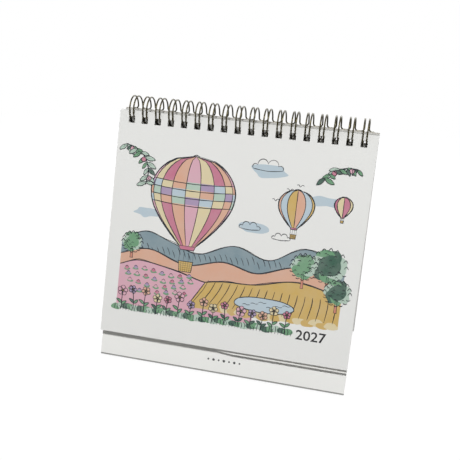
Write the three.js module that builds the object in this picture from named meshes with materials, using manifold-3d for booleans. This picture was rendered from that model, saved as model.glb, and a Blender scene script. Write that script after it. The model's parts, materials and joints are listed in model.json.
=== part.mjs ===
// Desk calendar: a twin-loop wire binding carries a cover, twelve month sheets and a folding easel
// stand. Units are millimetres, +Z is up and +Y points to the back. The origin is on the desk, under
// the middle of the calendar's width and depth.
import * as THREE from 'three';
import { mergeVertices } from 'three/addons/utils/BufferGeometryUtils.js';
import Module from 'manifold-3d';

const wasm = await Module();
wasm.setup();

// Driving dimensions
const pageWidth = 160; // of the sheets and both boards
const sheetHeight = 142;
const sheetThickness = 0.22;
const sheetGap = 0.1;
const monthSheets = 12;
const footStrip = 17; // height of the stand that shows below the sheets
const coreThickness = 1.2;
const skinThickness = 0.25;
const glueGap = 0.1; // between a board's core and its paper skins
const lean = THREE.MathUtils.degToRad(15); // of each board from the upright
const holeMargin = 8; // least, from a sheet's side to the middle of its first hole
const holePitch = 8.467; // three holes to the inch
const holeSize = 4;
const holeDrop = 5.7; // from a sheet's top edge to the middle of its holes
const ringRadius = 8.1; // to the middle of the wire
const wireRadius = 0.475;
const tipSpacing = 2.1; // between the two wires of a loop, at its closed tip
const baseSpacing = 2.9; // the same, where the loop opens into the spine
const spineBend = 1.9; // radius of the bends between loop and spine
const tipAngle = THREE.MathUtils.degToRad(84); // round the ring, from straight down towards the back
const spineAngle = THREE.MathUtils.degToRad(98);
const coverOffset = 5.6; // middle of the cover in front of the ring's axis
const stackGap = 0.35; // between the last sheet and the front board
const flapThickness = 0.6;
const flapGap = 0.3; // round a folded base flap
const flapInset = 4; // of a flap's ends from the boards' sides
const flapRoot = 8; // depth of the strip that runs along the crease
const tongueReach = 42; // depth of a flap with its tongue
const tongueWidth = 84; // middle tongue, on the front flap
const tongueGap = 3; // sideways, between a middle and a side tongue
const sideTongueWidth = 26;
const tongueCorner = 5;
const ringSteps = 16;
const wireSides = 6;

// Places that follow from them. Depths are measured from the ring's axis, square to a board.
const holeCount = Math.floor((pageWidth - 2 * holeMargin) / holePitch) + 1;
const flapWidth = pageWidth - 2 * flapInset;
const sheetPitch = sheetThickness + sheetGap;
const lastSheet = coverOffset - monthSheets * sheetPitch;
const boardThickness = coreThickness + 2 * (skinThickness + glueGap);
const frontOuter = lastSheet - sheetThickness / 2 - stackGap;
const frontInner = frontOuter - boardThickness;
const closedGap = 2 * flapThickness + 3 * flapGap;
const backInner = closedGap - frontInner; // behind the axis
const backOuter = backInner + boardThickness;
const crossing = (depth) => Math.sqrt(ringRadius ** 2 - depth ** 2); // ring's height below its axis
const middle = (a, b) => (a + b) / 2;
const frontHoles = middle(crossing(coverOffset), ringRadius); // below the axis, along the board
const backHoles = middle(crossing(backInner), crossing(backOuter));
const frontTop = frontHoles - holeDrop;
const backTop = backHoles - holeDrop;
const frontFoot = frontTop + sheetHeight + footStrip;
const axisHeight = frontFoot * Math.cos(lean) - frontInner * Math.sin(lean);
const backFoot = (axisHeight + backInner * Math.sin(lean)) / Math.cos(lean);
const openAngle = 2 * lean;
const creaseHeight = flapThickness / 2;

const paper = (color) => new THREE.MeshStandardMaterial({ color, roughness: 0.75, metalness: 0 });
const finishes = {
  cover: paper(0xf1f1ed),
  sheet: paper(0xf3f2ec),
  facing: paper(0xf4f4f2),
  core: paper(0xa9a59c),
  flap: paper(0xeeeeea),
  wire: new THREE.MeshStandardMaterial({ color: 0x46432f, roughness: 0.35, metalness: 0.9 }),
};

// The front group's y runs up the front board and its z points out at the reader. The back group's
// y runs up the back board and its z points in at the front board.
const calendar = new THREE.Group();
const front = new THREE.Group();
const back = new THREE.Group();
const base = new THREE.Group();
front.position.z = axisHeight;
back.position.z = axisHeight;
front.rotation.x = Math.PI / 2 - lean;
back.rotation.x = Math.PI / 2 + lean;
calendar.add(front, back, base);

function place(name, geometry, finish, parent) {
  const mesh = new THREE.Mesh(geometry, finish);
  mesh.name = name;
  parent.add(mesh);
  return mesh;
}

// A closed geometry as a solid that can be cut, and back again
function solidOf(geometry) {
  const bare = geometry.index ? geometry.clone() : geometry;
  bare.deleteAttribute('normal');
  bare.deleteAttribute('uv');
  const merged = mergeVertices(bare);
  const vertProperties = Float32Array.from(merged.attributes.position.array);
  const triVerts = Uint32Array.from(merged.index.array);
  return new wasm.Manifold(new wasm.Mesh({ numProp: 3, vertProperties, triVerts }));
}

function geometryOf(solid) {
  const { vertProperties, triVerts } = solid.getMesh();
  const geometry = new THREE.BufferGeometry();
  geometry.setAttribute('position', new THREE.BufferAttribute(vertProperties, 3));
  geometry.setIndex(new THREE.BufferAttribute(triVerts, 1));
  geometry.computeVertexNormals();
  return geometry;
}

const holeX = (i) => (i - (holeCount - 1) / 2) * holePitch;

// A punched sheet or board between two distances down from the axis, from depth z0 to z1
function punched(width, top, bottom, holes, z0, z1) {
  const blank = new THREE.BoxGeometry(width, bottom - top, z1 - z0);
  let solid = solidOf(blank.translate(0, -middle(top, bottom), middle(z0, z1)));
  const punchLength = 3 * (z1 - z0);
  for (let i = 0; i < holeCount; i += 1) {
    const punch = new THREE.BoxGeometry(holeSize, holeSize, punchLength);
    solid = solid.subtract(solidOf(punch.translate(holeX(i), -holes, middle(z0, z1))));
  }
  return geometryOf(solid);
}

// Cover and month sheets, from the front one back
function addSheets() {
  for (let i = 0; i <= monthSheets; i += 1) {
    const name = i === 0 ? 'cover_sheet' : `month_sheet_${String(i).padStart(2, '0')}`;
    const z = coverOffset - i * sheetPitch;
    const bottom = frontTop + sheetHeight;
    const span = [z - sheetThickness / 2, z + sheetThickness / 2];
    const solid = punched(pageWidth, frontTop, bottom, frontHoles, ...span);
    place(name, solid, i === 0 ? finishes.cover : finishes.sheet, front);
  }
}

// A board is a grey core between two paper skins. z0 is the depth of its rear face in its group.
function addBoard(prefix, parent, top, foot, holes, z0, rearSkin, frontSkin) {
  const coreStart = z0 + skinThickness + glueGap;
  const skinStart = coreStart + coreThickness + glueGap;
  const layer = (start, depth) => punched(pageWidth, top, foot, holes, start, start + depth);
  place(`${prefix}_${rearSkin}`, layer(z0, skinThickness), finishes.facing, parent);
  place(`${prefix}_core`, layer(coreStart, coreThickness), finishes.core, parent);
  place(`${prefix}_${frontSkin}`, layer(skinStart, skinThickness), finishes.facing, parent);
}

// A base flap lies on the desk. From its crease it reaches inwards as a strip, which carries one or
// more tongues. Each tongue is [middle, width], and they run from right to left.
function flapOutline(tongues) {
  const w = flapWidth / 2;
  const r = tongueCorner;
  const shape = new THREE.Shape();
  shape.moveTo(w, 0);
  shape.lineTo(w, flapRoot);
  for (const [x, width] of tongues) {
    const right = x + width / 2;
    const left = x - width / 2;
    shape.lineTo(right, flapRoot);
    shape.lineTo(right, tongueReach - r);
    shape.quadraticCurveTo(right, tongueReach, right - r, tongueReach);
    shape.lineTo(left + r, tongueReach);
    shape.quadraticCurveTo(left, tongueReach, left, tongueReach - r);
    shape.lineTo(left, flapRoot);
  }
  shape.lineTo(-w, flapRoot);
  shape.lineTo(-w, 0);
  return shape;
}

// A crease lies flapGap and half a flap in from its board's inner face. inward is 1 for the front
// board, whose flap reaches to the back, and -1 for the back board.
function creasePlace(innerDepth, inward) {
  const depth = innerDepth + inward * (flapGap + flapThickness / 2);
  const along = (axisHeight - creaseHeight - inward * depth * Math.sin(lean)) / Math.cos(lean);
  return depth * Math.cos(lean) - inward * along * Math.sin(lean);
}

function addFlap(name, tongues, creaseY, inward) {
  const settings = { depth: flapThickness, bevelEnabled: false, curveSegments: 4 };
  const solid = new THREE.ExtrudeGeometry(flapOutline(tongues), settings);
  if (inward < 0) solid.rotateZ(Math.PI);
  place(name, solid.translate(0, creaseY, 0), finishes.flap, base);
}

// The binding is one wire. It runs along the spine behind the ring's axis and, at each hole, over
// the crest, down the front, back through every sheet and board to a closed tip, and home beside
// itself. Its points are [x, angle], with the angle round the ring from straight down to the back.
function wireRoute() {
  const points = [];
  const full = spineAngle - 2 * Math.PI; // where a loop leaves the spine, going over the crest
  const bend = spineBend / ringRadius;
  const start = full + bend;
  const halfSpacing = (angle) => {
    const share = (tipAngle - angle) / (tipAngle - start);
    return (tipSpacing + (baseSpacing - tipSpacing) * share) / 2;
  };
  const bendSteps = 2;
  const tipSteps = 4;
  for (let i = 0; i < holeCount; i += 1) {
    const x = holeX(i);
    const half = halfSpacing(start);
    const loop = [];
    for (let k = 0; k < bendSteps; k += 1) {
      const turn = (k / bendSteps) * (Math.PI / 2);
      const out = half + spineBend * (1 - Math.sin(turn));
      loop.push([out, full + bend * (1 - Math.cos(turn))]);
    }
    for (let k = 0; k <= ringSteps; k += 1) {
      const angle = start + ((tipAngle - start) * k) / ringSteps;
      loop.push([halfSpacing(angle), angle]);
    }
    const tip = [];
    for (let k = 1; k < tipSteps; k += 1) {
      const turn = (k / tipSteps) * Math.PI;
      const rise = ((tipSpacing / 2) * Math.sin(turn)) / ringRadius;
      tip.push([x - (tipSpacing / 2) * Math.cos(turn), tipAngle + rise]);
    }
    points.push(...loop.map(([out, angle]) => [x - out, angle]), ...tip);
    points.push(...loop.reverse().map(([out, angle]) => [x + out, angle]));
  }
  const stub = 3 * wireRadius;
  points.unshift([points[0][0] - stub, full]);
  points.push([points[points.length - 1][0] + stub, full]);
  return points;
}

// The front group sees the ring from its side: y up the board, z out to the front
function onRing([x, angle], radius) {
  return new THREE.Vector3(x, -radius * Math.cos(angle), -radius * Math.sin(angle));
}

function wireSolid(route) {
  const centres = route.map((p) => onRing(p, ringRadius));
  const outward = route.map((p) => onRing(p, 1).setX(0));
  const vertices = [];
  const faces = [];
  const last = centres.length - 1;
  centres.forEach((centre, i) => {
    const along = centres[Math.min(i + 1, last)].clone().sub(centres[Math.max(i - 1, 0)]);
    const side = along.clone().cross(outward[i]).normalize();
    const out = side.clone().cross(along).normalize();
    for (let k = 0; k < wireSides; k += 1) {
      const turn = (k / wireSides) * 2 * Math.PI;
      const point = centre.clone().addScaledVector(side, wireRadius * Math.cos(turn));
      vertices.push(...point.addScaledVector(out, -wireRadius * Math.sin(turn)).toArray());
    }
  });
  for (let i = 0; i < last; i += 1) {
    for (let k = 0; k < wireSides; k += 1) {
      const [a, b] = [i * wireSides + k, i * wireSides + ((k + 1) % wireSides)];
      faces.push(a, b, b + wireSides, a, b + wireSides, a + wireSides);
    }
  }
  for (let k = 1; k < wireSides - 1; k += 1) {
    faces.push(0, k + 1, k, last * wireSides, last * wireSides + k, last * wireSides + k + 1);
  }
  const solid = new THREE.BufferGeometry();
  solid.setAttribute('position', new THREE.Float32BufferAttribute(vertices, 3));
  solid.setIndex(faces);
  solid.computeVertexNormals();
  return solid;
}

// The least gap between stretches of the wire that are further apart along it than the wire is
// round, from points set closely along it
function leastGap(route) {
  const dense = [];
  const perStep = 6;
  const along = [0];
  for (let i = 0; i < route.length - 1; i += 1) {
    const [from, to] = [onRing(route[i], ringRadius), onRing(route[i + 1], ringRadius)];
    for (let k = 0; k < perStep; k += 1) dense.push(from.clone().lerp(to, k / perStep));
  }
  for (let i = 1; i < dense.length; i += 1) along.push(along[i - 1] + dense[i].distanceTo(dense[i - 1]));
  const apart = 8 * wireRadius;
  let least = Infinity;
  for (let i = 0; i < dense.length; i += 1) {
    for (let k = i + 1; k < dense.length; k += 1) {
      if (Math.abs(dense[k].x - dense[i].x) > holePitch) continue;
      if (along[k] - along[i] < apart) continue;
      least = Math.min(least, dense[i].distanceTo(dense[k]));
    }
  }
  return least - 2 * wireRadius;
}

addSheets();
addBoard('front_board', front, frontTop, frontFoot, frontHoles, frontInner, 'lining', 'facing');
addBoard('back_board', back, backTop, backFoot, backHoles, -backOuter, 'facing', 'lining');

const sideTongue = tongueWidth / 2 + tongueGap + sideTongueWidth / 2;
const frontCrease = creasePlace(-frontInner, 1);
const rearCrease = creasePlace(backInner, -1);
addFlap('front_base_flap', [[0, tongueWidth]], frontCrease, 1);
const sideTongues = [[sideTongue, sideTongueWidth], [-sideTongue, sideTongueWidth]];
addFlap('rear_base_flap', sideTongues, rearCrease, -1);

const route = wireRoute();
place('twin_loop_wire', wireSolid(route), finishes.wire, front);
const extent = new THREE.Box3().setFromObject(calendar);
calendar.position.y = -extent.getCenter(new THREE.Vector3()).y;
const shift = calendar.position.y;

console.log(`least gap between stretches of the wire: ${leastGap(route).toFixed(2)} mm`);
console.log(`ring axis at y ${shift.toFixed(3)}, z ${axisHeight.toFixed(3)}`);
console.log(`boards open by ${THREE.MathUtils.radToDeg(openAngle).toFixed(3)} degrees`);
console.log(`front crease at y ${(frontCrease + shift).toFixed(3)}, z ${creaseHeight}`);
console.log(`rear crease at y ${(rearCrease + shift).toFixed(3)}, z ${creaseHeight}`);

export default calendar;
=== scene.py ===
# Desk calendar on a folding easel stand: cover, month sheets, twin-loop wire and printed designs
import json
import math
import random

import bmesh
import bpy
from mathutils import Matrix, Vector, noise


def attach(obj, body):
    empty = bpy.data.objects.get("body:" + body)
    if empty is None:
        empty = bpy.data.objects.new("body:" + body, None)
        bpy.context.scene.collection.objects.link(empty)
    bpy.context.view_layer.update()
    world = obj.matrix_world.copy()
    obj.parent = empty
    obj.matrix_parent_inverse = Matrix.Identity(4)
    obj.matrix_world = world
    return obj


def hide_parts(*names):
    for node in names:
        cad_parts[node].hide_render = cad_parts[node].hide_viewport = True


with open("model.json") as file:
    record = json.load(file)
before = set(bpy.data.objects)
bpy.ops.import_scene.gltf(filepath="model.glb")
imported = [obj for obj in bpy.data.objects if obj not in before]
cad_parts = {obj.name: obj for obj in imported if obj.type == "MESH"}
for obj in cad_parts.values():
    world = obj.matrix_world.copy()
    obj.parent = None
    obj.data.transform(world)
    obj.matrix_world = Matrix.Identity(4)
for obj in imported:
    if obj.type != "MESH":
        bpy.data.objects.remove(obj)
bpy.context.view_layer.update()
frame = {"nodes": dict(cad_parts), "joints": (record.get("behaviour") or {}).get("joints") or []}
nodes = frame["nodes"]
joints = {joint["name"]: joint for joint in frame["joints"]}
mm = 0.001

# The ring's axis and the lean of the boards come from the frame
ringAxis = Vector(joints["cover_turn"]["pos_m"])
lean = math.radians(joints["stand_fold"]["range_deg"][1] / 2)

# On the front board, x runs across, y up the board and z out of its front, from the ring's axis
onFront = Matrix.Translation(ringAxis) @ Matrix.Rotation(math.pi / 2 - lean, 4, "X")


def localBox(name):  # a node's lowest and highest corners, seen square to the front board
    points = [onFront.inverted() @ v.co for v in nodes[name].data.vertices]
    low = Vector([min(p[k] for p in points) for k in range(3)])
    high = Vector([max(p[k] for p in points) for k in range(3)])
    return low, high


# Camera
camera = {
    "place": (0.0850, -0.4189, 0.2403),
    "azimuth": 11.47,  # degrees to the right of the front
    "elevation": 21.88,
    "roll": 3.61,
    "focalPixels": 697.9,
    "centrePixel": (239.9, 250.2),
    "framePixels": 460,
}


def addCamera():
    data = bpy.data.cameras.new("camera")
    eye = bpy.data.objects.new("camera", data)
    bpy.context.scene.collection.objects.link(eye)
    size = camera["framePixels"]
    data.sensor_width = 36
    data.lens = camera["focalPixels"] / size * data.sensor_width
    data.shift_x = (size / 2 - camera["centrePixel"][0]) / size
    data.shift_y = (camera["centrePixel"][1] - size / 2) / size
    data.clip_start = 0.01
    turn = Matrix.Rotation(math.radians(camera["azimuth"]), 4, "Z")
    tilt = Matrix.Rotation(math.radians(90 - camera["elevation"]), 4, "X")
    roll = Matrix.Rotation(math.radians(camera["roll"]), 4, "Z")
    eye.matrix_world = Matrix.Translation(camera["place"]) @ turn @ tilt @ roll
    bpy.context.scene.camera = eye


addCamera()
print("camera placed")


# Shader maths: a Flow wraps a node's output, and sums and products of Flows add the Math nodes
class Flow:
    def __init__(self, finish, socket):
        self.finish = finish
        self.socket = socket

    def maths(self, operation, first, second):
        return self.finish.node("ShaderNodeMath", {"operation": operation}, {0: first, 1: second})

    def __add__(self, other):
        return self.maths("ADD", self, other)

    def __sub__(self, other):
        return self.maths("SUBTRACT", self, other)

    def __rsub__(self, other):
        return self.maths("SUBTRACT", other, self)

    def __mul__(self, other):
        return self.maths("MULTIPLY", self, other)

    def __pow__(self, other):
        return self.maths("POWER", self, other)

    def above(self, edge):
        return self.maths("GREATER_THAN", self, edge)

    __radd__ = __add__
    __rmul__ = __mul__


class Finish:
    def __init__(self, name, roughness, metallic=0.0):
        self.material = bpy.data.materials.new(name)
        self.material.use_nodes = True
        self.tree = self.material.node_tree
        self.shader = self.tree.nodes["Principled BSDF"]
        self.shader.inputs["Roughness"].default_value = roughness
        self.shader.inputs["Metallic"].default_value = metallic

    def node(self, kind, settings=None, inputs=None, output=0):
        made = self.tree.nodes.new(kind)
        for key, value in (settings or {}).items():
            setattr(made, key, value)
        for key, value in (inputs or {}).items():
            if isinstance(value, Flow):
                self.tree.links.new(value.socket, made.inputs[key])
            else:
                made.inputs[key].default_value = value
        return Flow(self, made.outputs[output])

    def place(self, scale=(1.0, 1.0, 1.0)):  # object coordinates, in metres
        at = self.node("ShaderNodeTexCoord", output="Object")
        return self.node("ShaderNodeMapping", inputs={"Vector": at, "Scale": scale})

    def noise(self, scale, detail, rough=0.55, stretch=(1.0, 1.0, 1.0)):
        inputs = {"Vector": self.place(stretch), "Scale": scale, "Detail": detail, "Roughness": rough}
        return self.node("ShaderNodeTexNoise", inputs=inputs)

    def blend(self, factor, first, second):  # from one colour to another
        inputs = {0: factor}
        for number, value in ((6, first), (7, second)):  # the Mix node's colour sockets
            inputs[number] = value if isinstance(value, Flow) else (*value, 1.0)
        return self.node("ShaderNodeMix", {"data_type": "RGBA"}, inputs, 2)

    def feed(self, socket, flow):
        self.tree.links.new(flow.socket, self.shader.inputs[socket])

    def bump(self, height, strength, distance):
        inputs = {"Height": height, "Strength": strength, "Distance": distance}
        self.feed("Normal", self.node("ShaderNodeBump", inputs=inputs))


paperWhite = (0.80, 0.80, 0.775)
frontNormal = (0.0, -math.cos(lean), math.sin(lean))
# Painted shade: cut edges between these distances from the ring's axis, the walls of the wire's holes,
# are darkened to stand in for the shade inside the holes
holeShade = {"from": 5.9 * mm, "to": 10.8 * mm, "acrossTo": 79.6 * mm, "tone": (0.030, 0.027, 0.022)}
# Painted shadow: the boards' white facings are darkened along the foot, up to this height over the
# floor, for the contact shadow where a board meets the floor
footShadow = {"to": 1.4 * mm, "strength": 0.8, "tone": (0.13, 0.13, 0.12)}


def paperFinish(name, tone, shade, edgeTone, roughness=0.62, grain=1.0, facing=frontNormal,
                footShadowed=False):
    finish = Finish(name, roughness)
    cloud = finish.noise(38.0, 3.0)
    fibre = finish.noise(2600.0, 2.0, 0.6, (1.0, 0.35, 0.6))
    mottled = finish.blend(cloud * 0.55 + fibre * 0.35, tone, shade)
    # Cut edges show the raw stock: they are the faces that don't look along the sheet's own normal
    normal = finish.node("ShaderNodeTexCoord", output="Normal")
    along = finish.node("ShaderNodeVectorMath", {"operation": "DOT_PRODUCT"},
                        {0: normal, 1: facing}, output="Value")
    edge = (0.5 - along * along).above(0.0)
    tone = finish.blend(edge, mottled, edgeTone)
    reach = finish.node("ShaderNodeVectorMath", {"operation": "DISTANCE"},
                        {0: finish.place((0.0, 1.0, 1.0)), 1: ringAxis}, output="Value")
    across = finish.node("ShaderNodeSeparateXYZ", inputs={"Vector": finish.place()}, output="X")
    inner = 1.0 - (across * across).above(holeShade["acrossTo"] ** 2)
    # Painted shade: darkens the hole walls near the ring's axis, for the shade that falls inside the
    # holes
    paintedHoleShade = edge * inner * reach.above(holeShade["from"]) * (1.0 - reach.above(holeShade["to"]))
    tone = finish.blend(paintedHoleShade, tone, holeShade["tone"])
    if footShadowed:
        # Painted shadow: the facing's lowest band is darkened for the contact shadow at the floor
        height = finish.node("ShaderNodeSeparateXYZ", inputs={"Vector": finish.place()}, output="Z")
        foot = 1.0 - height.above(footShadow["to"])
        tone = finish.blend(foot * footShadow["strength"], tone, footShadow["tone"])
    finish.feed("Base Color", tone)
    finish.feed("Roughness", fibre * 0.12 + (roughness - 0.05))
    finish.bump(fibre + cloud * 0.4, 0.12 * grain, 0.00004)
    return finish.material


def wireFinish():
    finish = Finish("bronzeWire", 0.3, 0.9)
    worn = finish.noise(420.0, 3.0)
    streak = finish.noise(1500.0, 2.0, 0.6)
    tone = finish.blend(worn, (0.026, 0.022, 0.011), (0.080, 0.070, 0.036))
    finish.feed("Base Color", tone)
    finish.feed("Roughness", streak * 0.2 + 0.2)
    finish.bump(streak, 0.1, 0.00003)
    return finish.material


def inkFinish(name, colour):
    finish = Finish(name, 0.75)
    press = finish.noise(700.0, 2.0)
    finish.feed("Base Color", finish.blend(press, colour, tuple(1.6 * c + 0.002 for c in colour)))
    return finish.material


finishes = {
    "cover": paperFinish("coverPaper", paperWhite, (0.765, 0.768, 0.752), (0.62, 0.60, 0.55)),
    "month": paperFinish("monthPaper", (0.84, 0.835, 0.80), (0.81, 0.805, 0.77), (0.60, 0.575, 0.51)),
    "facing": paperFinish("boardPaper", (0.885, 0.885, 0.855), (0.855, 0.855, 0.83), (0.60, 0.59, 0.56),
                          footShadowed=True),
    "lining": paperFinish("liningPaper", (0.78, 0.78, 0.76), (0.75, 0.75, 0.725), (0.60, 0.59, 0.56)),
    "core": paperFinish("greyBoard", (0.36, 0.345, 0.315), (0.28, 0.27, 0.245), (0.33, 0.315, 0.285),
                        0.85, 3.0),
    "flap": paperFinish("flapCard", (0.76, 0.76, 0.735), (0.72, 0.72, 0.70), (0.52, 0.50, 0.455),
                        0.7, 1.5, (0, 0, 1)),
    "wire": wireFinish(),
    "ink": inkFinish("drawnInk", (0.010, 0.013, 0.018)),
    "print": inkFinish("blackPrint", (0.006, 0.006, 0.007)),
}
print("papers and wire finished")


def dress(name, finish):
    slots = nodes[name].data.materials
    if len(slots) == 0:
        slots.append(finishes[finish])
    nodes[name].material_slots[0].material = finishes[finish]


for name in nodes:
    for stock in ("cover", "month", "core", "facing", "lining", "flap"):
        if stock in name:
            dress(name, stock)


def keep(piece, body, slot, *replaced):  # every new piece rides on its body, and the parts it replaces are hidden
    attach(piece, body)
    if replaced:
        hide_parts(*replaced)


def linkMesh(name, mesh, finish):
    piece = bpy.data.objects.new(name, mesh)
    bpy.context.scene.collection.objects.link(piece)
    mesh.materials.clear()
    mesh.materials.append(finish)
    return piece


def solidOf(curve):  # a curve's own mesh
    holder = bpy.data.objects.new("curveHolder", curve)
    bpy.context.scene.collection.objects.link(holder)
    bpy.context.view_layer.update()
    made = holder.evaluated_get(bpy.context.evaluated_depsgraph_get())
    mesh = bpy.data.meshes.new_from_object(made)
    bpy.data.objects.remove(holder)
    return mesh


def meshFromCurve(name, curve, finish, place):
    mesh = solidOf(curve)
    mesh.transform(place)
    return linkMesh(name, mesh, finish)


# The binding
wire = {
    "loops": 18,
    "pitch": 8.467 * mm,
    "radius": 8.1 * mm,
    "thickness": 0.95 * mm,
    "tipSpacing": 2.1 * mm,
    "baseSpacing": 2.9 * mm,
    "spineBend": 1.9 * mm,
    "tipAngle": math.radians(84),
    "spineAngle": math.radians(98),
    "stub": 1.425 * mm,  # how far the wire runs on at its two ends
    "ringSteps": 56,
    "bendSteps": 6,
    "tipSteps": 10,
}


def wireRoute():  # points as (x, angle round the ring from straight down to the back)
    full = wire["spineAngle"] - 2 * math.pi
    bend = wire["spineBend"] / wire["radius"]
    start = full + bend
    tip, base = wire["tipSpacing"], wire["baseSpacing"]

    def half(angle):
        share = (wire["tipAngle"] - angle) / (wire["tipAngle"] - start)
        return (tip + (base - tip) * share) / 2

    route = []
    for i in range(wire["loops"]):
        x = (i - (wire["loops"] - 1) / 2) * wire["pitch"]
        side = []
        for k in range(wire["bendSteps"]):
            turn = k / wire["bendSteps"] * math.pi / 2
            side.append((half(start) + wire["spineBend"] * (1 - math.sin(turn)),
                         full + bend * (1 - math.cos(turn))))
        for k in range(wire["ringSteps"] + 1):
            angle = start + (wire["tipAngle"] - start) * k / wire["ringSteps"]
            side.append((half(angle), angle))
        route += [(x - out, angle) for out, angle in side]
        for k in range(1, wire["tipSteps"]):
            turn = k / wire["tipSteps"] * math.pi
            rise = tip / 2 * math.sin(turn) / wire["radius"]
            route.append((x - tip / 2 * math.cos(turn), wire["tipAngle"] + rise))
        route += [(x + out, angle) for out, angle in reversed(side)]
    return [(route[0][0] - wire["stub"], full)] + route + [(route[-1][0] + wire["stub"], full)]


def addWire():
    curve = bpy.data.curves.new("binding", "CURVE")
    curve.dimensions = "3D"
    curve.bevel_depth = wire["thickness"] / 2
    curve.bevel_resolution = 3
    curve.use_fill_caps = True
    route = wireRoute()
    spline = curve.splines.new("POLY")
    spline.points.add(len(route) - 1)
    radius = wire["radius"]
    for point, (x, angle) in zip(spline.points, route):
        point.co = (x, -radius * math.cos(angle), -radius * math.sin(angle), 1)
    piece = meshFromCurve("bindingWire", curve, finishes["wire"], onFront)
    for face in piece.data.polygons:
        face.use_smooth = True
    keep(piece, "stand_front", "bronze_wire", "twin_loop_wire")


addWire()
print("wire bound")


# Printed designs. A drawing holds painted shapes and ink lines in millimetres from a sheet's lower
# left corner. Shapes lie on each other in the order they are drawn, a layer apart. The ink of a group
# lies over all the group's shapes, and under the next group.
def fromScreen(red, green, blue):  # a colour as a screen shows it, made linear
    return tuple((c / 255) ** 2.2 for c in (red, green, blue))


paints = {
    "pink": (243, 184, 202),
    "rose": (216, 124, 152),
    "peach": (243, 186, 156),
    "ochre": (228, 188, 100),
    "sand": (248, 230, 182),
    "leaf": (104, 164, 118),
    "pine": (36, 88, 68),
    "sage": (196, 222, 204),
    "sky": (204, 224, 236),
    "slate": (136, 160, 170),
    "lilac": (182, 156, 196),
    "brick": (222, 138, 112),
    "coal": (40, 42, 46),
}
rimWidth = 0.7  # the paint dries darker along its edge, in millimetres


def paintFinish(name):
    colour = fromScreen(*paints[name])
    finish = Finish("paint" + name.capitalize(), 0.68)
    pool = finish.noise(95.0, 4.0, 0.62)
    fine = finish.noise(1100.0, 2.0, 0.6)
    rim = finish.node("ShaderNodeAttribute", {"attribute_name": "rim"}, output="Fac")
    amount = finish.node("ShaderNodeClamp", inputs={"Value": pool * 1.7 - 0.32 + (fine - 0.5) * 0.4})
    thin = tuple(0.55 * paperWhite[k] + 0.45 * colour[k] for k in range(3))
    deep = tuple(0.62 * c for c in colour)
    flat = finish.blend(amount, thin, colour)
    finish.feed("Base Color", finish.blend(rim ** 1.6 * 0.7, flat, deep))
    return finish.material


def curveThrough(points, steps=8, closed=False):  # a smooth line through given points
    count = len(points)
    line = []
    last = count if closed else count - 1
    for i in range(last):
        a, b, c, d = (points[(i + k) % count] if closed else points[min(max(i + k, 0), count - 1)]
                      for k in (-1, 0, 1, 2))
        for s in range(steps):
            t = s / steps
            line.append(tuple(
                0.5 * (2 * b[k] + (c[k] - a[k]) * t + (2 * a[k] - 5 * b[k] + 4 * c[k] - d[k]) * t * t
                       + (3 * b[k] - a[k] - 3 * c[k] + d[k]) * t ** 3) for k in (0, 1)))
    if not closed:
        line.append(tuple(points[-1]))
    return line


def blob(x, y, rx, ry, hand, wobble, corners=9):  # an uneven oval
    spin = hand.random() * math.pi
    ring = []
    for k in range(corners):
        turn = spin + 2 * math.pi * k / corners
        reach = 1 + wobble * (2 * hand.random() - 1)
        ring.append((x + rx * reach * math.cos(turn), y + ry * reach * math.sin(turn)))
    return curveThrough(ring, 4, True)


inkLine = {
    "weight": 1.65,  # times the width that a drawing gives
    "thickness": 0.0012,
    "press": 0.82,  # how hard the hand presses
    "unevenness": 0.3,
    "tip": 0.45,  # share of the width at a line's ends
    "taper": 0.3,  # how much it gains with each point
}


class Drawing:
    def __init__(self, seed, layer):
        self.hand = random.Random(seed)
        self.layer = layer
        self.height = 0.0
        self.shapes = []
        self.lines = []
        self.inkHeights = []

    def over(self):  # ends a group: what follows lies over its paint and ink
        self.inkHeights.append(self.height + self.layer)
        self.height += self.layer + inkLine["thickness"]

    def paint(self, colour, outline):
        self.height += self.layer
        self.shapes.append((colour, outline, self.height))

    def ink(self, line, width, closed=False):
        self.lines.append((line + line[:2] if closed else line, width, len(self.inkHeights)))

    def sketch(self, line, width, slip=0.7):  # an outline gone over twice, loosely
        self.ink(line, width)
        start = self.hand.random() * 20
        again = [(x + slip * noise.noise(Vector((start + k * 0.16, 0, 0))),
                  y + slip * 0.5 + slip * noise.noise(Vector((start + k * 0.2, 5, 0))))
                 for k, (x, y) in enumerate(line)]
        self.ink(again, width * 0.6)

    def both(self, colour, outline, width):
        self.paint(colour, outline)
        self.ink(outline, width, True)

    def scribble(self, points, width, steps=8):
        self.ink(curveThrough(points, steps), width)


def paintPieces(drawing, prefix, place, body, slot):  # one piece for each colour
    for colour in sorted({shape[0] for shape in drawing.shapes}):
        mesh = bmesh.new()
        rim = mesh.verts.layers.float.new("rim")
        for own, outline, height in drawing.shapes:
            if own != colour:
                continue
            corners = [mesh.verts.new((x, y, height)) for x, y in outline]
            for corner in corners:
                corner[rim] = 1.0
            face = mesh.faces.new(corners)
            face.normal_update()
            if face.normal.z < 0:
                face.normal_flip()
            bmesh.ops.inset_region(mesh, faces=[face], thickness=rimWidth, use_even_offset=False)
        bmesh.ops.triangulate(mesh, faces=mesh.faces[:])
        mesh.transform(place)
        data = bpy.data.meshes.new(prefix + colour.capitalize())
        mesh.to_mesh(data)
        mesh.free()
        if colour not in finishes:
            finishes[colour] = paintFinish(colour)
        keep(linkMesh(prefix + colour.capitalize(), data, finishes[colour]), body, slot)


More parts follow.
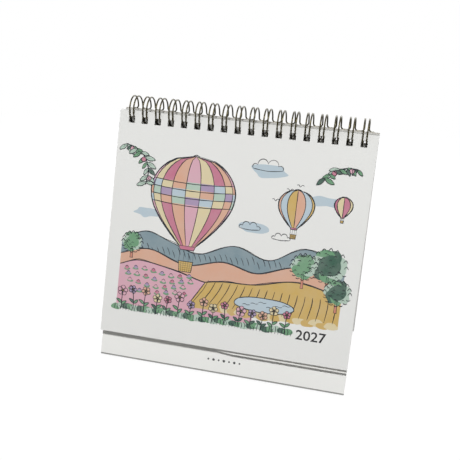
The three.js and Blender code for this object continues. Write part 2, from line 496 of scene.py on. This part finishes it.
def inkPiece(drawing, name, place, body, slot):  # all lines as one flattened tube
    drawing.over()  # gives the last group its ink height
    flat = inkLine["thickness"] / inkLine["weight"]
    curve = bpy.data.curves.new(name, "CURVE")
    curve.dimensions = "3D"
    curve.bevel_depth = 1.0
    curve.bevel_resolution = 0
    curve.use_fill_caps = True
    for line, width, group in drawing.lines:
        spline = curve.splines.new("POLY")
        spline.points.add(len(line) - 1)
        drift = drawing.hand.random() * 9
        for k, (point, (x, y)) in enumerate(zip(spline.points, line)):
            shake = noise.noise(Vector((k * 0.23, drift, 0.0)))
            press = inkLine["press"] + inkLine["unevenness"] * shake
            taper = min(1.0, inkLine["tip"] + inkLine["taper"] * min(k, len(line) - 1 - k))
            point.co = (x, y, drawing.inkHeights[group] / flat, 1)
            point.radius = width * inkLine["weight"] / 2 * press * taper
    flatten = Matrix.Diagonal((1, 1, flat, 1))
    keep(meshFromCurve(name, curve, finishes["ink"], place @ flatten), body, slot)


labels = {}


def labelMesh(text, size, bold):  # one label in millimetres, centred on its middle, made once
    key = (text, size, bold)
    if key not in labels:
        curve = bpy.data.curves.new("label" + text, "FONT")
        curve.body = text
        curve.size = size
        curve.align_x = "CENTER"
        curve.resolution_u = 3
        curve.offset = bold
        labels[key] = solidOf(curve)
    return labels[key]


def printLabels(name, wanted, size, place, body, slot, bold=0.0):  # all labels as one piece
    mesh = bmesh.new()
    for text, x, y in wanted:
        placed = labelMesh(text, size, bold).copy()
        placed.transform(Matrix.Translation((x, y, 0)))
        mesh.from_mesh(placed)
        bpy.data.meshes.remove(placed)
    mesh.transform(place)
    data = bpy.data.meshes.new(name)
    mesh.to_mesh(data)
    mesh.free()
    keep(linkMesh(name, data, finishes["print"]), body, slot)


def onSheet(name, height):  # a sheet's lower left corner, so many millimetres proud of its face
    low, high = localBox(name)
    corner = Matrix.Translation((low.x, low.y, high.z + height * mm))
    return onFront @ corner @ Matrix.Diagonal((mm, mm, mm, 1))


# Each hill's top line, the other points of its outline and the width of its pen
hills = {
    "slate": {
        "top": [(9, 60), (24, 68), (42, 63), (60, 58), (82, 66), (104, 60), (126, 70), (151, 63)],
        "rest": [(151, 48), (9, 48)],
        "pen": 0.36,
    },
    "peach": {
        "top": [(9, 52), (28, 57), (52, 50), (76, 55), (98, 51), (122, 58), (151, 52)],
        "rest": [(151, 36), (9, 36)],
        "pen": 0.45,
    },
    "pink": {
        "top": [(9, 45), (22, 49), (44, 46), (66, 41), (84, 42), (98, 39)],
        "rest": [(98, 19), (9, 19)],
        "pen": 0.45,
    },
    "ochre": {
        "top": [(66, 41), (78, 43), (98, 44), (120, 49), (138, 47), (151, 42)],
        "rest": [(151, 24), (56, 24), (57.5, 27), (63, 36)],
        "pen": 0.45,
    },
}


def addHill(art, colour):
    hill = hills[colour]
    top = curveThrough(hill["top"])
    art.over()
    art.paint(colour, top + hill["rest"])
    art.sketch(top, hill["pen"])


def addHills(art):
    hand = art.hand
    addHill(art, "slate")
    for k in range(40):  # strokes down the far hill
        x = 12 + k * 3.4
        y = 57.5 + hand.random() * 4
        art.scribble([(x, y), (x + 1.3, y - 2.2), (x + 2.1, y - 4.6)], 0.3, steps=3)
    addHill(art, "peach")
    addHill(art, "pink")
    addHill(art, "ochre")
    field = hills["ochre"]
    art.scribble(field["rest"][2:] + field["top"][:1], 0.4, steps=4)  # the field's left edge
    for k in range(18):  # ploughed rows
        x = 68 + k * 4.7
        row = [(x, 42.6 - 0.1 * k), (x - 3 + 0.2 * k, 36), (x - 9 + 0.5 * k, 27)]
        art.scribble(row, 0.36, steps=4)
    for k in range(16):  # stubble along the field's foot
        x = 76 + k * 4.7
        clod = blob(x, 24.5 + 1.6 * hand.random(), 4.2, 2.2, hand, 0.25, 8)
        art.paint(("ochre", "sand")[k % 2], clod)


def addSky(art):
    hand = art.hand
    for x, y, rx, ry in ((98, 114, 11, 4), (134, 100, 9, 3), (92, 79, 9, 3.4), (24, 80, 8, 3)):
        art.paint("sky", blob(x, y, rx, ry, hand, 0.2, 11))
    for x, y, size in ((97, 115, 1.0), (110, 74, 0.6), (90, 78, 0.7)):
        puffs = []
        for k in range(5):
            a = math.pi * (1 - k / 4)
            puffs.append(Vector((x + 9 * size * math.cos(a), y + 3.4 * size * math.sin(a))))
        for a, b in zip(puffs, puffs[1:]):
            middle, half = (a + b) / 2, (a - b) / 2
            arch = [middle + Matrix.Rotation(-math.pi * k / 7, 2) @ half for k in range(8)]
            art.ink([(point.x, point.y) for point in arch], 0.34)
        art.scribble([puffs[0], (x, y - 0.9 * size), puffs[-1]], 0.3)
    for x, y in ((112, 104), (118, 107), (104, 97), (28, 94)):
        wings = [(x - 2.2, y + 0.9), (x - 1, y + 1.1), (x, y), (x + 1, y + 1.2), (x + 2.3, y + 0.8)]
        art.scribble(wings, 0.3, steps=3)


# A balloon's outline and its band of patches are shares of its height, its basket shares of its radius
balloonShape = {
    "widest": 0.6,
    "mouth": 0.2,
    "bands": (0.46, 0.545, 0.63, 0.71),
    "patches": ("sky", "sand", "peach", "sage", "lilac"),
    "lip": 0.09,
    "ropes": 0.36,
    "basketHalf": 0.17,
    "basketDeep": 0.24,
    "taper": 0.85,
}


def addBalloon(art, x, foot, radius, height, gores, colours, patchwork):
    shape = balloonShape
    art.over()

    def width(share):
        widest = shape["widest"]
        if share > widest:
            return radius * math.sqrt(max(0.0, 1 - ((share - widest) / (1 - widest)) ** 2))
        return radius * (shape["mouth"] + (1 - shape["mouth"]) * math.sin(share / widest * math.pi / 2))

    def point(k, share):  # on seam k
        side = math.sin((2 * k / gores - 1) * math.pi / 2)
        return (x + side * width(share), foot + height * share)

    def seam(k, steps=22):
        return [point(k, s / steps) for s in range(steps + 1)]

    for k in range(gores):
        art.paint(colours[k % len(colours)], seam(k) + seam(k + 1)[::-1][1:])
    if patchwork:
        bands = shape["bands"]
        for row, (low, high) in enumerate(zip(bands, bands[1:])):
            for k in range(gores):
                patch = [point(k, low), point(k + 1, low), point(k + 1, high), point(k, high)]
                art.paint(shape["patches"][(2 * row + k) % len(shape["patches"])], patch)
        for share in bands:
            w, y = width(share), foot + height * share
            art.scribble([(x - w, y + 0.7), (x - w / 2, y - 0.5), (x, y - 0.9),
                          (x + w / 2, y - 0.5), (x + w, y + 0.7)], 0.36)
    for k in range(gores + 1):
        if k in (0, gores):
            art.sketch(seam(k), 0.5, radius * 0.03)
        else:
            art.ink(seam(k), 0.34)
    base = width(0.0)
    lip = foot - radius * shape["lip"]
    mouth = [(x - base, foot), (x - base * 0.8, lip), (x + base * 0.8, lip), (x + base, foot)]
    art.both("rose", mouth, 0.4)
    addBasket(art, x, foot - radius * shape["ropes"], lip, base * 0.8, radius)
    crown = foot + height
    art.scribble([(x - 2, crown), (x, crown + radius * 0.03), (x + 2, crown)], 0.4)


def addBasket(art, x, top, lip, reach, radius):  # hangs on four ropes from the mouth's lip
    half = radius * balloonShape["basketHalf"]
    bottom = top - radius * balloonShape["basketDeep"]
    narrow = half * balloonShape["taper"]
    for side in (-1, -0.35, 0.35, 1):
        art.ink([(x + side * reach, lip), (x + side * half, top)], 0.28)
    basket = [(x - half, top), (x - narrow, bottom), (x + narrow, bottom), (x + half, top)]
    art.both("ochre", basket, 0.45)
    if radius > 10:  # woven
        for k in range(1, 5):
            y = top + (bottom - top) * k / 5
            art.ink([(x - half * 0.95, y), (x + half * 0.95, y)], 0.22)
        for k in range(1, 6):
            side = 2 * k / 6 - 1
            art.ink([(x + side * half, top), (x + side * narrow, bottom)], 0.22)
    art.ink([(x - half * 1.1, top), (x + half * 1.1, top)], 0.5)


def addTree(art, x, foot, reach, colour, trunk):
    hand = art.hand
    fork = foot + trunk + 2
    art.over()
    art.both("brick", [(x - 0.8, foot), (x - 0.5, fork), (x + 0.5, fork), (x + 0.9, foot)], 0.34)
    crown = foot + trunk + reach * 0.8
    for k in range(7):  # clumps of leaves round the middle one
        a = 2 * math.pi * k / 7 + 0.3
        px, py = x + reach * 0.52 * math.cos(a), crown + reach * 0.5 * math.sin(a)
        art.paint(("sage", colour, "leaf")[k % 3], blob(px, py, reach * 0.5, reach * 0.46, hand, 0.16))
    art.paint(colour, blob(x, crown, reach * 0.62, reach * 0.58, hand, 0.14))
    for k in range(16):  # leaf strokes round the outline, then inside
        a = 2 * math.pi * k / 16
        px, py = x + reach * 0.95 * math.cos(a), crown + reach * 0.9 * math.sin(a)
        bend = 1.1 if math.sin(a) > -0.2 else -1.1
        art.scribble([(px - 1.3, py - 0.6), (px, py + bend), (px + 1.3, py - 0.5)], 0.36, steps=4)
    for k in range(int(reach * 3)):
        a, r = hand.random() * 6.3, reach * 0.8 * math.sqrt(hand.random())
        px, py = x + r * math.cos(a), crown + r * math.sin(a)
        art.scribble([(px - 0.9, py), (px - 0.1, py + 0.8), (px + 0.8, py + 0.1)], 0.28, steps=3)


def addFlower(art, x, foot, tall, colour, size):
    hand = art.hand
    art.over()
    bend = (hand.random() - 0.5) * 3
    head = (x + bend, foot + tall)
    art.scribble([(x, foot), (x + bend * 0.3, foot + tall * 0.5), head], 0.36)
    for side in (-1, 1):
        y = foot + tall * (0.25 + 0.15 * hand.random())
        tip = (x + side * (2.6 + hand.random()), y + 2.4)
        points = [(x, y), (x + side * 1.8, y + 0.5), tip, (x + side * 0.8, y + 1.9)]
        leaf = curveThrough(points, 4, True)
        art.both(("leaf", "pine")[hand.random() > 0.6], leaf, 0.28)
    for k in range(5):  # petals
        a = 2 * math.pi * k / 5 + bend
        px, py = head[0] + size * 0.62 * math.cos(a), head[1] + size * 0.62 * math.sin(a)
        art.both(colour, blob(px, py, size * 0.5, size * 0.46, hand, 0.08, 6), 0.26)
    art.both("ochre", blob(head[0], head[1], size * 0.3, size * 0.3, hand, 0.05, 6), 0.26)


def addBranch(art, spine, count, size):  # a leafy spray with berries along a drooping stem
    hand = art.hand
    art.over()
    stem = curveThrough(spine, 12)
    art.sketch(stem, 0.5, 0.4)
    for k in range(count):
        x, y = stem[int((k + 0.5) / count * (len(stem) - 1))]
        for side in (-1, 1):
            turn = math.radians(-90 + side * (30 + 55 * hand.random()))
            reach = size * (0.7 + 0.5 * hand.random())
            tip = (x + reach * math.cos(turn), y + reach * math.sin(turn))
            wide = reach * 0.2
            out = (-math.sin(turn) * wide, math.cos(turn) * wide)
            middle = ((x + tip[0]) / 2, (y + tip[1]) / 2)
            leaf = curveThrough([(x, y), (middle[0] + out[0], middle[1] + out[1]), tip,
                                 (middle[0] - out[0], middle[1] - out[1])], 5, True)
            art.over()
            art.both(("leaf", "sage", "pine", "leaf")[hand.randrange(4)], leaf, 0.28)
            art.ink([(x, y), middle], 0.22)
        if k % 3 == 1:
            at = (x + 2 * (hand.random() - 0.5), y - 1.5)
            art.both(("rose", "pink")[k % 2], blob(*at, 1.5, 1.4, hand, 0.1, 7), 0.32)


def addMeadow(art):
    hand = art.hand
    art.over()
    for row in range(4):  # rows of blossom on the pink hill
        for k in range(8):
            x = 14 + k * 5.9 + row * 1.3
            y = 43.5 - row * 4.2 + 1.2 * math.sin(k * 0.9 + row)
            if x > 57:  # the field begins there
                continue
            art.paint("leaf", blob(x, y - 1.0, 2.1, 0.9, hand, 0.2, 7))
            art.paint(("rose", "lilac", "pink")[(k + row) % 3], blob(x, y, 1.3, 1.1, hand, 0.18, 6))
            art.scribble([(x - 1.2, y), (x, y + 1.1), (x + 1.2, y)], 0.26, steps=3)
    art.over()
    art.both("sky", blob(104, 32, 19, 4.6, hand, 0.05, 12), 0.4)
    for k in range(6):
        x, y = 91 + k * 5, 31 + (k % 3) * 1.2
        art.scribble([(x, y), (x + 1.6, y + 0.5), (x + 3.4, y), (x + 5, y + 0.4)], 0.26, steps=4)
    art.over()
    for k in range(34):  # grass in front
        x = 9 + k * 3.4
        tuft = blob(x, 17.2 + hand.random() * 1.4, 3.2, 2.0, hand, 0.22, 7)
        art.paint(("leaf", "sage", "pine")[k % 3], tuft)
    for k in range(60):
        x = 8 + k * 1.95
        h = 2.5 + 2.5 * hand.random()
        tip = x + (hand.random() - 0.5) * 2
        art.scribble([(x, 15.5), (x + 0.3, 15.5 + h * 0.6), (tip, 15.5 + h)], 0.28, steps=3)
    kinds = (("pink", 3.0), ("peach", 2.6), ("rose", 2.3), ("lilac", 2.4), ("sand", 2.7))
    for k in range(15):
        colour, size = kinds[(k * 3) % 5]
        addFlower(art, 12 + k * 7.6 + hand.random() * 1.5, 16, 9 + 5 * hand.random(), colour, size)


# The cover's own design, in millimetres from its lower left corner
coverPrint = {
    "seed": 27,
    "proud": 0.01,  # over the sheet
    "layer": 0.0005,
    "balloons": (  # middle, foot, radius, height, gores, colours and whether it has a patchwork band
        (52, 62, 27, 56, 9, ("pink", "sand", "rose", "peach"), True),
        (117, 82, 11, 23, 6, ("peach", "sky", "ochre"), False),
        (145, 92, 5.5, 12, 4, ("rose", "sand"), False),
    ),
    "trees": (  # middle, foot, reach, colour and trunk
        (141, 44, 11, "pine", 9),
        (126, 46, 8, "leaf", 7),
        (148, 34, 8, "pine", 6),
        (16, 50, 6.5, "leaf", 5),
    ),
    "branches": (  # stem, number of leaf pairs and length of a leaf
        ([(6, 121), (13, 119), (19, 114), (22, 106), (21, 97)], 9, 6.2),
        ([(151, 121), (144, 121), (136, 118.5), (131, 113)], 7, 5.6),
    ),
    "year": {"text": "2027", "middle": (135.4, 14.4), "size": 8.5, "stretch": 1.1, "bold": 0.11},
}


def addCoverPrint():
    art = Drawing(coverPrint["seed"], coverPrint["layer"])
    addSky(art)
    addHills(art)
    for balloon in coverPrint["balloons"]:
        addBalloon(art, *balloon)
    for tree in coverPrint["trees"]:
        addTree(art, *tree)
    addMeadow(art)
    for branch in coverPrint["branches"]:
        addBranch(art, *branch)
    place = onSheet("cover_sheet", coverPrint["proud"])
    paintPieces(art, "coverPaint", place, "cover", "cover_paper")
    inkPiece(art, "coverInk", place, "cover", "cover_paper")
    year = coverPrint["year"]
    spot = Matrix.Translation((*year["middle"], 0.02)) @ Matrix.Diagonal((year["stretch"], 1, 1, 1))
    printLabels("coverYear", [(year["text"], 0, 0)], year["size"], place @ spot, "cover", "cover_paper",
                year["bold"])
    print("cover printed:", len(art.shapes), "shapes and", len(art.lines), "lines,",
          round(art.height, 2), "mm deep")


addCoverPrint()


# A row of dots stands on the stand's front strip
stripDots = {
    "seed": 5,
    "count": 7,
    "left": 72.5,
    "pitch": 3.4,
    "height": 8.6,
    "radius": 0.85,
    "smaller": 0.72,
    "proud": 0.01,
    "layer": 0.001,
}


def addStripDots():
    art = Drawing(stripDots["seed"], stripDots["layer"])
    for k in range(stripDots["count"]):
        reach = stripDots["radius"] * (1.0 if k % 2 else stripDots["smaller"])
        x = stripDots["left"] + k * stripDots["pitch"]
        art.paint("coal", blob(x, stripDots["height"], reach, reach, art.hand, 0.04, 8))
    place = onSheet("front_board_facing", stripDots["proud"])
    paintPieces(art, "stripDots", place, "stand_front", "board_paper")


addStripDots()
print("strip printed")


# One month sheet hangs a little askew, so that its lower edge shows under the others
slipped = {"sheet": "month_sheet_06", "drop": 2.5 * mm, "from": -20 * mm, "to": 8 * mm}


def addSlippedSheet():
    name = slipped["sheet"]
    low, _ = localBox(name)
    mesh = bmesh.new()
    mesh.from_mesh(nodes[name].data)
    bmesh.ops.remove_doubles(mesh, verts=mesh.verts[:], dist=0.00001)
    for x in (slipped["from"], slipped["to"]):  # bend lines where the drop starts and ends
        everything = mesh.verts[:] + mesh.edges[:] + mesh.faces[:]
        bmesh.ops.bisect_plane(mesh, geom=everything, plane_co=(x, 0, 0), plane_no=(1, 0, 0),
                               dist=0.000001)
    down = onFront.to_3x3() @ Vector((0, -1, 0))
    for corner in mesh.verts:
        at = onFront.inverted() @ corner.co
        if at.y < low.y + 1 * mm:
            share = (at.x - slipped["from"]) / (slipped["to"] - slipped["from"])
            corner.co += down * slipped["drop"] * min(1.0, max(0.0, share))
    data = bpy.data.meshes.new("slippedSheet")
    mesh.to_mesh(data)
    mesh.free()
    sheet = linkMesh("slippedSheet", data, finishes["month"])
    keep(sheet, name.replace("_sheet", ""), "month_paper", name)


addSlippedSheet()
print("sheet slipped")


# Month sheets: a large month number, a bar for each weekday and a grid of days, in millimetres from a
# sheet's lower left corner, the same plain layout on each
monthGrid = {
    "left": 14,
    "right": 146,
    "top": 88,
    "row": 15.0,
    "figure": 6.6,
    "title": 17,
    "titleAt": (18.5, 109),
    "barHalf": 6,
    "barFrom": 103,
    "barTo": 104.6,
    "seed": 100,
    "proud": 0.02,
    "layer": 0.002,
}
monthTones = ("slate", "rose", "leaf", "pink", "pine", "ochre",
              "sky", "peach", "brick", "lilac", "sage", "slate")
monthDays = (31, 28, 31, 30, 31, 30, 31, 31, 30, 31, 30, 31)


def addMonthPrint(number):
    name = f"month_sheet_{number:02d}"
    piece = f"month{number:02d}"
    body = name.replace("_sheet", "")
    grid = monthGrid
    place = onSheet(name, grid["proud"])
    step = (grid["right"] - grid["left"]) / 7
    columns = [grid["left"] + step * (k + 0.5) for k in range(7)]
    art = Drawing(grid["seed"] + number, grid["layer"])
    for k in range(4):  # a tint in the upper right corner
        art.paint(monthTones[number - 1], blob(128 + 5 * k, 117 - 2 * (k % 2), 7, 4.5, art.hand, 0.2))
    bars = ("rose", "sand", "sand", "sand", "sand", "sand", "slate")
    for x, tone in zip(columns, bars):
        left, right = x - grid["barHalf"], x + grid["barHalf"]
        low, high = grid["barFrom"], grid["barTo"]
        art.paint(tone, [(left, low), (right, low), (right, high), (left, high)])
    paintPieces(art, piece + "Paint", place, body, "month_paper")
    title = [(str(number), *grid["titleAt"])]
    printLabels(piece + "Title", title, grid["title"], place, body, "month_paper")
    first = (number * 3 + 1) % 7
    figures = []
    for day in range(1, monthDays[number - 1] + 1):
        row, k = divmod(day + first - 1, 7)
        figures.append((str(day), columns[k], grid["top"] - grid["row"] * row))
    printLabels(piece + "Days", figures, grid["figure"], place, body, "month_paper")


for number in range(1, 13):
    addMonthPrint(number)
print("month sheets printed")


# Floor and light
studio = {
    "floorSize": 6.0,
    "floorDrop": 0.4 * mm,
    "floorGlow": 0.9,  # near the calendar, where its shadow shows
    "glowFrom": 0.35,  # the floor turns plain white between these distances
    "glowTo": 0.8,
    "floorSeen": 1.0,
    "floorBounce": 0.2,
    "world": 0.09,
    "aim": (0, 0, 0.08),
}
# Each lamp's place, size and power
lamps = {
    "key": ((0.25, -1.6, 2.24), 0.28, 64.5),
    "fill": ((-0.85, -0.75, 0.8), 0.9, 1.2),
    "rear": ((0.3, 1.2, 0.8), 0.8, 9.0),
    "right": ((1.3, 0.35, 0.5), 0.8, 10.0),
    "left": ((-1.3, 0.35, 0.5), 0.8, 10.0),
}


def seenDirectly(tree):  # camera, gloss and glass rays, as a factor
    paths = tree.nodes.new("ShaderNodeLightPath")
    total = paths.outputs["Is Camera Ray"]
    for name in ("Is Glossy Ray", "Is Transmission Ray"):
        either = tree.nodes.new("ShaderNodeMath")
        either.operation = "MAXIMUM"
        tree.links.new(total, either.inputs[0])
        tree.links.new(paths.outputs[name], either.inputs[1])
        total = either.outputs[0]
    return total


def addFloor():
    mesh = bmesh.new()
    bmesh.ops.create_grid(mesh, x_segments=1, y_segments=1, size=studio["floorSize"])
    data = bpy.data.meshes.new("floor")
    mesh.to_mesh(data)
    mesh.free()
    finish = Finish("floorPaint", 0.9)
    tree = finish.tree
    seen = Flow(finish, seenDirectly(tree))
    grey, white = (studio["floorBounce"],) * 3, (studio["floorSeen"],) * 3
    finish.feed("Base Color", finish.blend(seen, grey, white))
    out = next(node for node in tree.nodes if node.type == "OUTPUT_MATERIAL")
    glow = tree.nodes.new("ShaderNodeEmission")
    mix = tree.nodes.new("ShaderNodeMixShader")
    far = finish.node("ShaderNodeVectorMath", {"operation": "LENGTH"}, {0: finish.place()}, "Value")
    spread = (far - studio["glowFrom"]) * (1.0 / (studio["glowTo"] - studio["glowFrom"]))
    share = finish.node("ShaderNodeClamp", inputs={"Value": spread})
    strength = share * (1.0 - studio["floorGlow"]) + studio["floorGlow"]
    tree.links.new((seen * strength).socket, mix.inputs[0])
    tree.links.new(finish.shader.outputs[0], mix.inputs[1])
    tree.links.new(glow.outputs[0], mix.inputs[2])
    tree.links.new(mix.outputs[0], out.inputs["Surface"])
    floor = linkMesh("floor", data, finish.material)
    floor.location.z = -studio["floorDrop"]


def addLamp(name, place, size, power):
    data = bpy.data.lights.new(name, "AREA")
    data.size = size
    data.energy = power
    lamp = bpy.data.objects.new(name, data)
    bpy.context.scene.collection.objects.link(lamp)
    lamp.location = place
    aim = Vector(studio["aim"]) - Vector(place)
    lamp.rotation_euler = aim.to_track_quat("-Z", "Y").to_euler()


def addWorld():
    world = bpy.data.worlds.new("studio")
    bpy.context.scene.world = world
    world.use_nodes = True
    tree = world.node_tree
    tree.nodes.clear()
    out = tree.nodes.new("ShaderNodeOutputWorld")
    mix = tree.nodes.new("ShaderNodeMixShader")
    dim = tree.nodes.new("ShaderNodeBackground")
    white = tree.nodes.new("ShaderNodeBackground")
    dim.inputs["Strength"].default_value = studio["world"]
    for plain in (dim, white):
        plain.inputs["Color"].default_value = (1, 1, 1, 1)
    white.inputs["Strength"].default_value = 1.0
    tree.links.new(seenDirectly(tree), mix.inputs[0])
    tree.links.new(dim.outputs[0], mix.inputs[1])
    tree.links.new(white.outputs[0], mix.inputs[2])
    tree.links.new(mix.outputs[0], out.inputs["Surface"])


addFloor()
addWorld()
for name, (place, size, power) in lamps.items():
    addLamp(name, place, size, power)
bpy.context.scene.view_settings.view_transform = "Standard"
print("floor and lights set")
